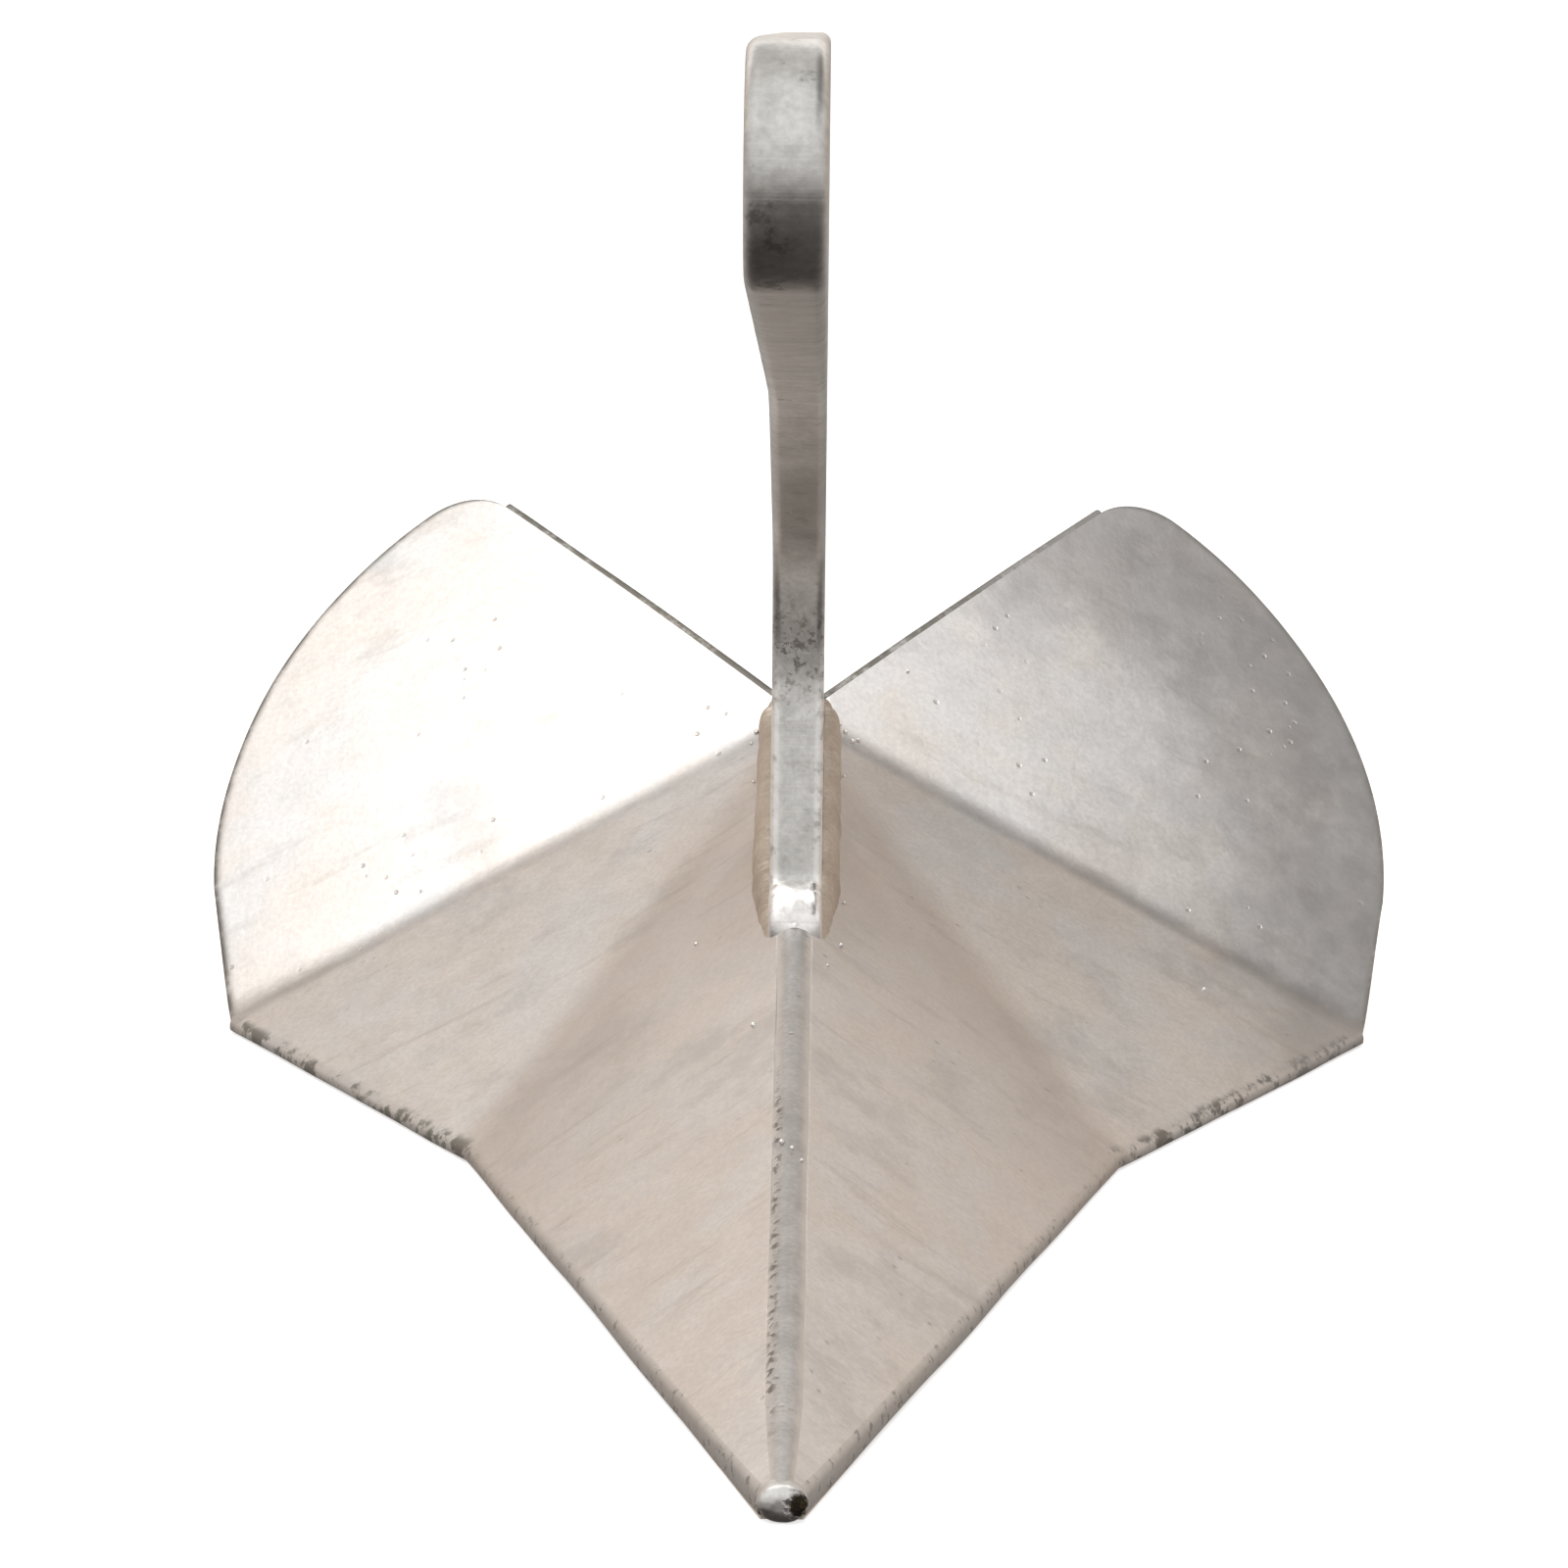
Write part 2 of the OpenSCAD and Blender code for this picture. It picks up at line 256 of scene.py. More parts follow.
def arc(centre, r, a0, a1, count):
    a = np.radians(np.linspace(a0, a1, count))
    return np.stack([centre[0] + r * np.cos(a), centre[1] + r * np.sin(a)], axis=1)


# ---------------------------------------------------------------- blades
def wing_outline():
    """Outer edge of a wing from the shoulder round to the trailing edge, as points in plan."""
    normal = np.array([-WING[0], -WING[1], 1.0])
    normal /= np.linalg.norm(normal)
    along = SHOULDER_3D - CROWN
    fold_len = np.linalg.norm(along)
    along /= fold_len
    up = np.cross(normal, along)
    toe = np.radians(WING_TOE_ANGLE)
    start = np.array([fold_len, 0.0]) + WING_TOE_LEN * np.array([math.cos(toe), math.sin(toe)])
    a0 = math.radians(WING_ARC_START)
    centre = start - WING_ARC_R * np.array([math.cos(a0), math.sin(a0)])
    trail = math.radians(TRAILING_ANGLE)
    trail_dir = np.array([math.cos(trail), math.sin(trail)])
    inward = np.array([math.sin(trail), -math.cos(trail)])
    offset = WING_CORNER_R * inward - centre
    reach = (WING_ARC_R - WING_CORNER_R) ** 2
    run = -offset @ trail_dir + math.sqrt((offset @ trail_dir) ** 2 - offset @ offset + reach)
    corner = WING_CORNER_R * inward + run * trail_dir
    a1 = math.degrees(math.atan2(*(corner - centre)[::-1]))
    straight = np.linspace([fold_len, 0.0], start, 34)
    flat = np.concatenate([straight, arc(centre, WING_ARC_R, WING_ARC_START, a1, 110)[1:],
                           arc(corner, WING_CORNER_R, a1, TRAILING_ANGLE + 90, 30)[1:]])
    return (CROWN + flat[:, :1] * along + flat[:, 1:] * up)[:, :2]


def seam_half(y):
    """Half width of the ridge seam, narrowing towards the nose."""
    return SEAM_HALF_W * np.interp(y, [CAP_LEN, 45.0], [0.6, 1.0])


def blade_rays():
    """Inner and outer end of each line across the right blade, and 1 where the edge is cut upright."""
    half = SHANK_T / 2
    waist_y = CROWN_Y - half * (CROWN_Y - WAIST[1]) / WAIST[0]
    t = np.linspace(0, 1, 190)
    slot = (FOOT_FRONT - CAP_LEN) / (waist_y - CAP_LEN)
    inner_y = CAP_LEN + (waist_y - CAP_LEN) * t
    inner = np.stack([np.where(t > slot, half, seam_half(inner_y) - 0.1), inner_y], axis=1)
    outer = np.array([NOSE_HALF_W, CAP_LEN]) + t[:, None] * (np.array(WAIST) - (NOSE_HALF_W, CAP_LEN))
    flank = np.linspace(WAIST, SHOULDER, 96)[1:]
    wing = wing_outline()[1:]
    rest = np.concatenate([flank, wing])
    rest_y = CROWN_Y + half * (rest[:, 1] - CROWN_Y) / rest[:, 0]
    rest_inner = np.stack([np.full(len(rest), half), rest_y], axis=1)
    upright = np.concatenate([np.ones(len(outer) + len(flank)), np.zeros(len(wing))])
    return np.concatenate([inner, rest_inner]), np.concatenate([outer, rest]), upright


FLUKE_WAVES = [(0.42, 80.0), (0.05, 20.0)]
FLUKE_SEED = 3.0
TOP_POINTS = 74
# Place of the rounded edge's middle in a blade section
EDGE_PLACE = TOP_POINTS + 5


def blade_section(inner, outer, upright, edge_r, lift=0.0):
    """Ring of points round one line across a blade: over the top, round the edge and back underneath."""
    reach = outer - inner
    length = np.linalg.norm(reach)
    share = 1 - edge_r / length
    t = share * (1 - (1 - np.linspace(0, 1, TOP_POINTS)) ** 1.35)
    xy = inner + t[:, None] * reach
    top = on_fluke(xy)
    n = fluke_normal(xy[:, 0], xy[:, 1])
    drop = np.minimum(PLATE_T, np.maximum(top[:, 2], 0) / n[:, 2])[:, None] * n
    below = top - drop
    below[0] = top[0] - [0, 0, min(PLATE_T / n[0, 2], top[0, 2])]
    top = top - lift * n
    below = below + np.minimum(lift, np.linalg.norm(drop, axis=1) / 2)[:, None] * n
    corner = on_fluke(outer)
    n_edge = fluke_normal(outer[0], outer[1])
    foot = corner * [1, 1, 0] if upright else corner - n_edge * min(PLATE_T, corner[2] / n_edge[2])
    corner = corner - lift * n_edge
    foot = foot + (0 if upright else lift) * n_edge
    down = (foot - corner) / np.linalg.norm(foot - corner)
    depth = min(edge_r, np.linalg.norm(foot - corner) * 0.45)
    edge = bezier(top[-1], corner, corner + down * depth, 6)[1:]
    edge += bezier(foot - down * depth, foot, below[-1], 6)[:-1]
    return np.concatenate([top, edge, below[::-1]])


def make_blade(side):
    """One blade, side = 1 for the right one and -1 for the left."""
    inner, outer, upright = blade_rays()
    edge_r = 1.5
    rings = [blade_section(a, b, u, edge_r) for a, b, u in zip(inner, outer, upright)]
    trail = outer[-1] - inner[-1]
    trail = trail / np.linalg.norm(trail)
    rear = np.array([-trail[1], trail[0]])
    for a in np.radians([18, 38, 60, 80]):
        out = edge_r * math.sin(a)
        lift = edge_r * (1 - math.cos(a))
        rings.append(blade_section(inner[-1] + rear * out, outer[-1] + rear * out, 0, edge_r, lift=lift))
    columns = len(rings[0])
    verts = np.concatenate(rings) * [side, 1, 1]
    faces = loft_faces(len(rings), columns)
    faces += strip_cap(0, columns) + strip_cap((len(rings) - 1) * columns, columns)
    name = "blade_right" if side > 0 else "blade_left"
    obj = mesh_piece("fluke_" + name, verts, faces, name)
    uneven(obj, FLUKE_WAVES, seed=FLUKE_SEED)
    weather_blade(obj, len(rings), columns, 1.0 if side > 0 else 0.2)
    return obj


def weather_blade(obj, rows, columns, painted_shade_amount):
    """Marks where the edges and folds are, and where shade is painted: brown-tinted by the foot and along
    the inner fold, and on the outer wing; for the material to read.
    """
    p = points_mm(obj)
    x, y = np.abs(p[:, 0]), p[:, 1]
    ring_place = np.tile(np.arange(columns), rows)
    ring_row = np.repeat(np.arange(rows), columns)
    outer_edge = np.clip(1 - np.abs(ring_place - EDGE_PLACE) / 11.0, 0, 1)
    trailing_edge = np.clip((ring_row - rows + 7) / 4.0, 0, 1)
    paint(obj, "edge", np.maximum(outer_edge, trailing_edge))
    share_h, flank_h, wing_h = (plane_z(q, x, y) for q in (SHARE, FLANK, WING))
    paint(obj, "wing_fold", np.clip(1 - np.abs(np.maximum(share_h, flank_h) - wing_h) / 5.0, 0, 1))
    paint(obj, "on_wing", np.clip((wing_h - np.maximum(share_h, flank_h)) / 4.0, 0, 1))
    off_ridge = np.hypot(x, np.maximum(y - 400.0, 0) * 0.5)
    # Painted shade, tinted brown: darker by the shank's foot and in a band on the inner side of the waist
    # fold, kept off the wing.
    near_foot = np.exp(-off_ridge / 60.0) * np.clip((y - 250.0) / 130.0, 0, 1)
    inside_fold = share_h - flank_h
    along_fold = 0.75 * np.exp(-np.abs(inside_fold) / 14.0) * np.clip(inside_fold / 3.0 + 0.5, 0, 1)
    crease_shade_and_weld_film = np.maximum(near_foot * np.clip(inside_fold / 8.0 + 0.3, 0, 1), along_fold)
    paint(obj, "crease_shade_and_weld_film", crease_shade_and_weld_film * (wing_h < np.maximum(share_h, flank_h) + 1))
    # Painted shade: the outer part of the wing darker, in full on the right blade and a little on the left.
    outer = np.maximum(np.clip((y - 508.0) / 48.0, 0, 1), np.clip((x - 112.0) / 48.0, 0, 1))
    paint(obj, "painted_shade_patch", outer * painted_shade_amount)
    near_edge = np.clip(1 - (flank_h - EDGE_H) / 2.6, 0, 1)
    paint(obj, "leading", near_edge * (y > WAIST[1] - 5) * (wing_h < flank_h))


blades = [make_blade(-1), make_blade(1)]


# ---------------------------------------------------------------- ridge seam, nose and weld beads
def make_ridge_seam():
    """Ground-back weld along the ridge: the rounded crest that blends into both blades."""
    across = np.linspace(-1.22, 1.22, 37)
    rings = []
    for y in np.linspace(CAP_LEN - 3, FOOT_FRONT + 1, 300):
        half = seam_half(y)
        x = across * half
        rounded = np.where(np.abs(x) < half, (x * x + half * half) / (2 * half), np.abs(x))
        z = fluke_z(rounded, np.full_like(x, y)) + 0.28 - 0.30 * across ** 2
        top = np.stack([x, np.full_like(x, y), z], axis=1)
        floor = max(0.0, z.min() - 4.0)
        rings.append(np.concatenate([top, [[x[-1] * 0.7, y, floor], [x[0] * 0.7, y, floor]]]))
    obj = solid_loft("ridge_seam", rings, "ridge_weld")
    uneven(obj, FLUKE_WAVES, seed=FLUKE_SEED)
    p = points_mm(obj)
    paint(obj, "crest", np.clip((1.1 - np.abs(p[:, 0]) / seam_half(p[:, 1])) / 0.6, 0, 1))
    beside = np.exp(-((p[:, 0] + 3.4) / 1.2) ** 2)
    low_down = np.clip((235.0 - p[:, 1]) / 30.0, 0, 1) * np.clip((p[:, 1] - 20.0) / 30.0, 0, 1)
    paint(obj, "pit_line", beside * low_down)
    return obj


def soften(value, power):
    return math.copysign(abs(value) ** power, value)


def make_nose():
    """Blunt weld-built nose: a lump a little wider than tall with a flattened face."""
    rows, columns = 34, 56
    verts = []
    for j in range(rows):
        a = math.pi * j / (rows - 1)
        for i in range(columns):
            b = 2 * math.pi * i / columns
            dx, dz, dy = math.sin(a) * math.cos(b), math.sin(a) * math.sin(b), -math.cos(a)
            x = (NOSE_HALF_W + 0.5) * soften(dx, 0.78) * (1.0 if dz > -0.2 else 0.9)
            z = 4.75 + 4.75 * soften(dz, 0.80)
            y = 4.6 + 4.6 * soften(dy, 0.62)
            p = np.array([x * (1.02 - 0.20 * max(dz, 0)), y, z])
            lump = 0.35 * fractal(p, 5.0, 31.0) + 0.12 * fractal(p, 1.8, 37.0)
            verts.append(p * [1 + lump * 0.06, 1, 1] + [0, 0.5 * lump, 0.3 * lump])
    verts = np.maximum(np.array(verts), [-99, 0.05, 0])
    faces = loft_faces(rows, columns)
    obj = mesh_piece("nose_bead", verts, faces, "nose_cap")
    bm = bmesh.new()
    bm.from_mesh(obj.data)
    bmesh.ops.remove_doubles(bm, verts=bm.verts, dist=1e-6)
    bm.to_mesh(obj.data)
    bm.free()
    return obj


def make_fillet(name, stations, low, high, node, seed):
    """Rippled weld bead. low and high give, for each station, where its two toes lie on the plates."""
    ripple, pitch, bulge = 0.22, 2.3, 0.25
    taper_at = [stations[0], stations[0] + 42, stations[-1] - 6, stations[-1]]
    rings = []
    for s in stations:
        a, b = low(s), high(s)
        root = np.array([b[0], b[1], a[2] - 0.5])
        size = np.interp(s, taper_at, [0.45, 1, 1, 0.6])
        a, b = root + (a - root) * size, root + (b - root) * size
        out = np.array([a[0] - root[0], a[1] - root[1], b[2] - root[2]])
        wave = ripple * (1 - abs(math.sin(math.pi * s / pitch + 1.2 * fractal((s, 0, 0), 9.0, seed))) * 1.3)
        wave += 0.35 * fractal((s, 5, 0), 6.0, seed + 4)
        middle = (a + b) / 2 + out * bulge * size
        curve = bezier(a, 2 * middle - (a + b) / 2, b, 13)
        out = out / np.linalg.norm(out)
        lifted = [c + out * wave * math.sin(math.pi * k / 12) for k, c in enumerate(curve)]
        inside = root + (root - (a + b) / 2) * 0.05
        rings.append(np.array([*lifted, inside]))
    return solid_loft(name, rings, node)


def make_shank_fillet(side):
    x0 = SHANK_T / 2 - 0.4
    x1 = SHANK_T / 2 + FILLET_LEG

    def low(y):
        x = x1 + 0.7 * fractal((y, 1, 0), 14.0, 40 + side)
        return np.array([side * x, y, fluke_z(x, y) - 0.15])

    def high(y):
        z = fluke_z(x0, y) + 5.4 + 0.8 * fractal((y, 2, 0), 12.0, 50 + side)
        return np.array([side * x0, y, z])

    name = "shank_weld_right" if side > 0 else "shank_weld_left"
    return make_fillet("fillet_" + name, np.arange(FOOT_FRONT - 1, HEEL_Y + 1, 0.55), low, high, name,
                       60.0 + side)


def make_toe_bead():
    """Pillow of weld over the front of the foot, as wide as the shank."""
    half_w = 7.8
    back = np.array([FOOT_FRONT + 10.5, fluke_z(0.0, FOOT_FRONT + 10.5) + 7.6])
    front = np.array([FOOT_FRONT - 2.0, fluke_z(0.0, FOOT_FRONT - 2.0) - 0.6])
    rings = []
    for x in half_w * np.sin(np.linspace(-math.pi / 2, math.pi / 2, 64)):
        full = max(0.0, 1 - (abs(x) / half_w) ** 4) ** 0.3
        section = []
        for a in np.linspace(0, math.pi / 2, 26):
            y = back[0] + (front[0] - back[0]) * math.sin(a) ** 1.3 * (0.62 + 0.38 * full)
            z = front[1] + (back[1] - front[1]) * math.cos(a) ** 1.3
            low = fluke_z(0.5 * x, y) - 0.5
            z = low + max(z - low, 0.0) * (0.35 + 0.65 * full)
            section.append([x, y, z + 0.35 * fractal((x, y, z), 5.0, 71.0)])
        foot = section[-1][1] - 1.4
        section.append([x, foot, fluke_z(x, foot) - 0.3])
        section += [[x * 0.95, foot + 2.0, front[1] - 9.0], [x * 0.95, back[0], front[1] - 9.0]]
        rings.append(np.array(section))
    return solid_loft("toe_bead", rings, "toe_weld")


# Place across, place back and radius of each bead of spatter
SPATTER = [
    (-13.5, 478.5, 0.8), (-11.4, 481.5, 0.7), (-15.0, 475.0, 0.5), (12.6, 481.0, 0.6), (14.4, 479.5, 0.8),
    (16.6, 477.5, 0.9), (18.4, 479.0, 0.7), (14.0, 452.0, 0.5), (-13.9, 447.0, 0.5), (13.2, 326.0, 0.8),
    (14.2, 358.0, 0.5), (-2.2, 182.0, 0.8), (0.6, 176.0, 0.7), (3.2, 173.0, 0.6), (-29.0, 352.0, 0.7),
    (-11.0, 268.0, 0.8), (9.5, 306.0, 0.5), (126.0, 441.0, 0.7), (34.0, 505.0, 0.7)]


def make_spatter():
    """Small beads thrown off by the welding, half sunk in the plates."""
    rows, columns = 7, 12
    verts, faces = [], []
    for x, y, r in SPATTER:
        centre = np.array([x, y, fluke_z(x, y) + 0.35 * r + 0.12])
        start = len(verts)
        for j in range(rows):
            a = math.pi * (j + 0.02) / (rows - 0.96)
            for i in range(columns):
                b = 2 * math.pi * i / columns
                outward = np.array([math.sin(a) * math.cos(b), math.sin(a) * math.sin(b), math.cos(a)])
                verts.append(centre + r * outward)
        faces += [tuple(start + k for k in f) for f in loft_faces(rows, columns)]
        faces += end_caps(rows, columns, start)
    return mesh_piece("weld_spatter", verts, faces)


weld_spatter = make_spatter()
ridge_seam = make_ridge_seam()
nose_bead = make_nose()
shank_fillets = [make_shank_fillet(-1), make_shank_fillet(1)]
toe_bead = make_toe_bead()


# ---------------------------------------------------------------- shank
def on_line(p, angle, d):
    a = math.radians(angle)
    return np.asarray(p, float) + d * np.array([math.cos(a), math.sin(a)])


def crossing(p, a, q, b):
    """Where two lines, each given by a point and an angle, cross."""
    d = np.subtract(q, p)
    ar, br = math.radians(a), math.radians(b)
    return on_line(p, a, (d[0] * math.sin(br) - d[1] * math.cos(br)) / math.sin(br - ar))


def rounded(c, a, b, r, count):
    """Arc of radius r rounding the corner c between the directions a, coming in, and b, going out."""
    turn = b - a
    side = 1 if turn > 0 else -1
    centre = on_line(on_line(c, a, -r * math.tan(math.radians(abs(turn) / 2))), a + 90 * side, r)
    return arc(centre, r, a - 90 * side, b - 90 * side, count)


def ridge_z(y):
    return RIDGE_NOSE_H + RIDGE_RISE * y


def shank_outline():
    """Closed outline of the shank in the plane of symmetry, as (distance back, height), evenly spaced."""
    # Degrees: slopes of the underside, throat and top, leans of the front edge and heel, heading of the foot
    under, throat, top = 9.9, 23.5, 3.5
    lean, heel_lean, foot_turn = 8.8, 10.0, -190.9
    u, t = math.radians(under), math.radians(top)
    under_start = HEAD + HEAD_R * np.array([-math.sin(u), -math.cos(u)])
    top_start = HEAD + HEAD_R * np.array([math.sin(t), math.cos(t)])
    throat_start = np.array([187.0, 238.5])
    front_foot = np.array([332.0, ridge_z(332.0) + 5])
    heel = np.array([HEEL_Y, ridge_z(HEEL_Y)])
    throat_corner = crossing(under_start, -under, throat_start, -throat)
    inner_corner = crossing(throat_start, -throat, front_foot, 90 - lean)
    outer_corner = crossing(top_start, -top, heel, 90 + heel_lean)
    points = np.concatenate([
        rounded(throat_corner, -under, -throat, 300, 20),
        rounded(inner_corner, -throat, -90 - lean, 48, 60),
        rounded(front_foot, -90 - lean, foot_turn, 4, 10),
        rounded([FOOT_FRONT, ridge_z(FOOT_FRONT) + 5], foot_turn, -90, 3, 8),
        [[FOOT_FRONT, ridge_z(FOOT_FRONT) - 18], [HEEL_Y - 3, ridge_z(HEEL_Y) - 18], heel],
        rounded(outer_corner, 90 + heel_lean, 180 - top, 190, 90),
        arc(HEAD, HEAD_R, 90 - top, 270 - under, 50)])
    points = np.concatenate([points, points[:1]])
    run = np.concatenate([[0], np.cumsum(np.linalg.norm(np.diff(points, axis=0), axis=1))])
    even = np.linspace(0, run[-1], 1300, endpoint=False)
    return np.stack([np.interp(even, run, points[:, 0]), np.interp(even, run, points[:, 1])], axis=1)


def rim_rings(outline, inward, edge_r, steps=7, flat=9):
    """Rows of points across the plate's thickness, one ring along the outline for each."""
    half = SHANK_T / 2
    sections = []
    for a in np.linspace(0, math.pi / 2, steps):
        sections.append((edge_r * (1 - math.sin(a)), -half + edge_r * (1 - math.cos(a))))
    for x in np.linspace(-half + edge_r, half - edge_r, flat)[1:-1]:
        sections.append((0.0, x))
    sections += [(inset, -x) for inset, x in reversed(sections[:steps])]
    rows = []
    for inset, x in sections:
        p = outline + inward * inset
        rows.append(np.stack([np.full(len(p), x), p[:, 0], p[:, 1]], axis=1))
    return rows


def inward_normals(outline):
    """Unit vectors pointing into an anticlockwise outline."""
    ahead = np.roll(outline, -2, axis=0) - np.roll(outline, 2, axis=0)
    ahead /= np.linalg.norm(ahead, axis=1, keepdims=True)
    return np.stack([-ahead[:, 1], ahead[:, 0]], axis=1)


def make_shank():
    outline = shank_outline()
    area = np.sum(outline[:, 0] * np.roll(outline[:, 1], -1) - np.roll(outline[:, 0], -1) * outline[:, 1])
    inward = inward_normals(outline) * math.copysign(1, area)
    rims = [rim_rings(outline, inward, 2.7)]
    for centre, r in ((HEAD, SHACKLE_R), (TRIP_EYE, TRIP_R)):
        a = np.linspace(0, 2 * math.pi, 96, endpoint=False)
        circle = np.stack([centre[0] + r * np.cos(a), centre[1] + r * np.sin(a)], axis=1)
        outward = np.stack([np.cos(a), np.sin(a)], axis=1)
        rims.append(rim_rings(circle, outward, 1.2, 5, 4))
    bm = bmesh.new()
    side_edges = {0: [], -1: []}
    for rows in rims:
        grid = []
        for row in rows:
            placed = row * MM
            placed[:, 1] += nose_y
            grid.append([bm.verts.new(p) for p in placed])
        count = len(grid[0])
        for j in range(len(grid) - 1):
            for i in range(count):
                k = (i + 1) % count
                bm.faces.new((grid[j][i], grid[j][k], grid[j + 1][k], grid[j + 1][i]))
        bm.edges.ensure_lookup_table()
        for end in (0, -1):
            for i in range(count):
                side_edges[end].append(bm.edges.get((grid[end][i], grid[end][(i + 1) % count])))
    for end in (0, -1):
        bmesh.ops.triangle_fill(bm, use_beauty=True, use_dissolve=False, edges=side_edges[end])
    bmesh.ops.recalc_face_normals(bm, faces=bm.faces)
    me = bpy.data.meshes.new("shank_plate")
    bm.to_mesh(me)
    bm.free()
    me.polygons.foreach_set("use_smooth", [True] * len(me.polygons))
    obj = bpy.data.objects.new("shank_plate", me)
    scene.collection.objects.link(obj)
    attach(obj, "root")
    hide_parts("shank")
    weather_shank(obj)
    weighted = obj.modifiers.new("weighted", "WEIGHTED_NORMAL")
    weighted.weight = 90
    weighted.keep_sharp = True
    return obj


def weather_shank(obj):
    """Cut marks across the throat, lumpy edges and slight waviness on the rim; the flat sides stay flat."""
    p = points_mm(obj)
    half = SHANK_T / 2
    rim = np.clip((half - np.abs(p[:, 0])) / 0.8, 0, 1)
    normals = np.array([v.normal[:] for v in obj.data.vertices])
    shift = np.zeros(len(p))
    for i, (x, y, z) in enumerate(p):
        if rim[i] <= 0:
            continue
        marks = math.exp(-((y - 120) / 70) ** 2) if z < 300 and y < 320 else 0.0
        drag = math.sin(y * 0.9 + 2.5 * fractal((x, y * 0.2, 0), 14.0, 80.0))
        shift[i] = 0.30 * fractal((x * 0.5, y, z), 26.0, 83.0) + 0.10 * fractal((x, y, z), 6.0, 86.0)
        shift[i] += marks * (0.16 * drag + 0.25 * fractal((x * 0.3, y, z), 5.0, 89.0))
    co = (p + normals * (shift * rim)[:, None]) * MM
    co[:, 1] += nose_y
    obj.data.vertices.foreach_set("co", co.ravel())
    obj.data.update()
    paint(obj, "rim", rim)
    x, y, z = np.abs(p[:, 0]), p[:, 1], p[:, 2]
    front = (rim > 0) * np.clip((372.0 - y) / 8.0, 0, 1) * (y > 150)
    # Painted highlight with worn zinc: near-white rounded front corners low down.
    edge_highlight_and_wear = np.clip((x - half + 2.9) / 1.2, 0, 1) * np.clip((150.0 - z) / 18.0, 0, 1)
    paint(obj, "edge_highlight_and_wear", edge_highlight_and_wear * front)
    paint(obj, "burn", front * np.exp(-((z - 146.0) / 15.0) ** 2))
    # Painted shade: a band across the front edge at the bend.
    paint(obj, "painted_shade_patch", front * np.exp(-((z - 198.0) / 20.0) ** 2))


shank_plate = make_shank()


# ---------------------------------------------------------------- materials
class Nodes:
    """Short way to build a material's node tree."""

    def __init__(self, tree):
        self.tree = tree

    def add(self, kind, inputs=(), **settings):
        node = self.tree.nodes.new(kind)
        for key, value in settings.items():
            setattr(node, key, value)
        for key, value in dict(inputs).items():
            self.put(node.inputs[key], value)
        return node

    def put(self, socket, value):
        if isinstance(value, bpy.types.NodeSocket):
            self.tree.links.new(value, socket)
        else:
            socket.default_value = value

    def noise(self, vector, scale, detail=3.0, rough=0.55):
        node = self.add("ShaderNodeTexNoise", {"Vector": vector, "Scale": scale, "Detail": detail,
                                               "Roughness": rough})
        return node.outputs["Fac"]

    def span(self, value, low, high, to_low=0.0, to_high=1.0):
        node = self.add("ShaderNodeMapRange", {"Value": value, "From Min": low, "From Max": high,
                                               "To Min": to_low, "To Max": to_high})
        node.interpolation_type = "SMOOTHSTEP"
        return node.outputs["Result"]

    def math(self, operation, a, b=0.0):
        node = self.add("ShaderNodeMath", operation=operation)
        self.put(node.inputs[0], a)
        self.put(node.inputs[1], b)
        return node.outputs["Value"]

    def mix(self, factor, a, b):
        node = self.add("ShaderNodeMix", data_type="RGBA")
        self.put(node.inputs["Factor"], factor)
        # Inputs 6 and 7 are the two colours; the names A and B belong to the float inputs as well
        self.put(node.inputs[6], a)
        self.put(node.inputs[7], b)
        return node.outputs[2]

    def ramp(self, value, stops):
        """Colour read off a scale whose stops are (place from -1 to 1, red, green, blue)."""
        node = self.add("ShaderNodeValToRGB", {"Fac": value})
        marks = node.color_ramp.elements
        for index, (place, *rgb) in enumerate(stops):
            mark = marks[index] if index < 2 else marks.new(place / 2 + 0.5)
            mark.position = place / 2 + 0.5
            mark.color = (*rgb, 1.0)
        return node.outputs["Color"]

    def attribute(self, name):
        return self.add("ShaderNodeAttribute", attribute_name=name).outputs["Fac"]

    def scaled(self, vector, x, y, z, turn=(0, 0, 0)):
        node = self.add("ShaderNodeMapping", {"Vector": vector, "Scale": (x, y, z), "Rotation": turn})
        return node.outputs["Vector"]


def colour(r, g, b):
    return (r, g, b, 1.0)


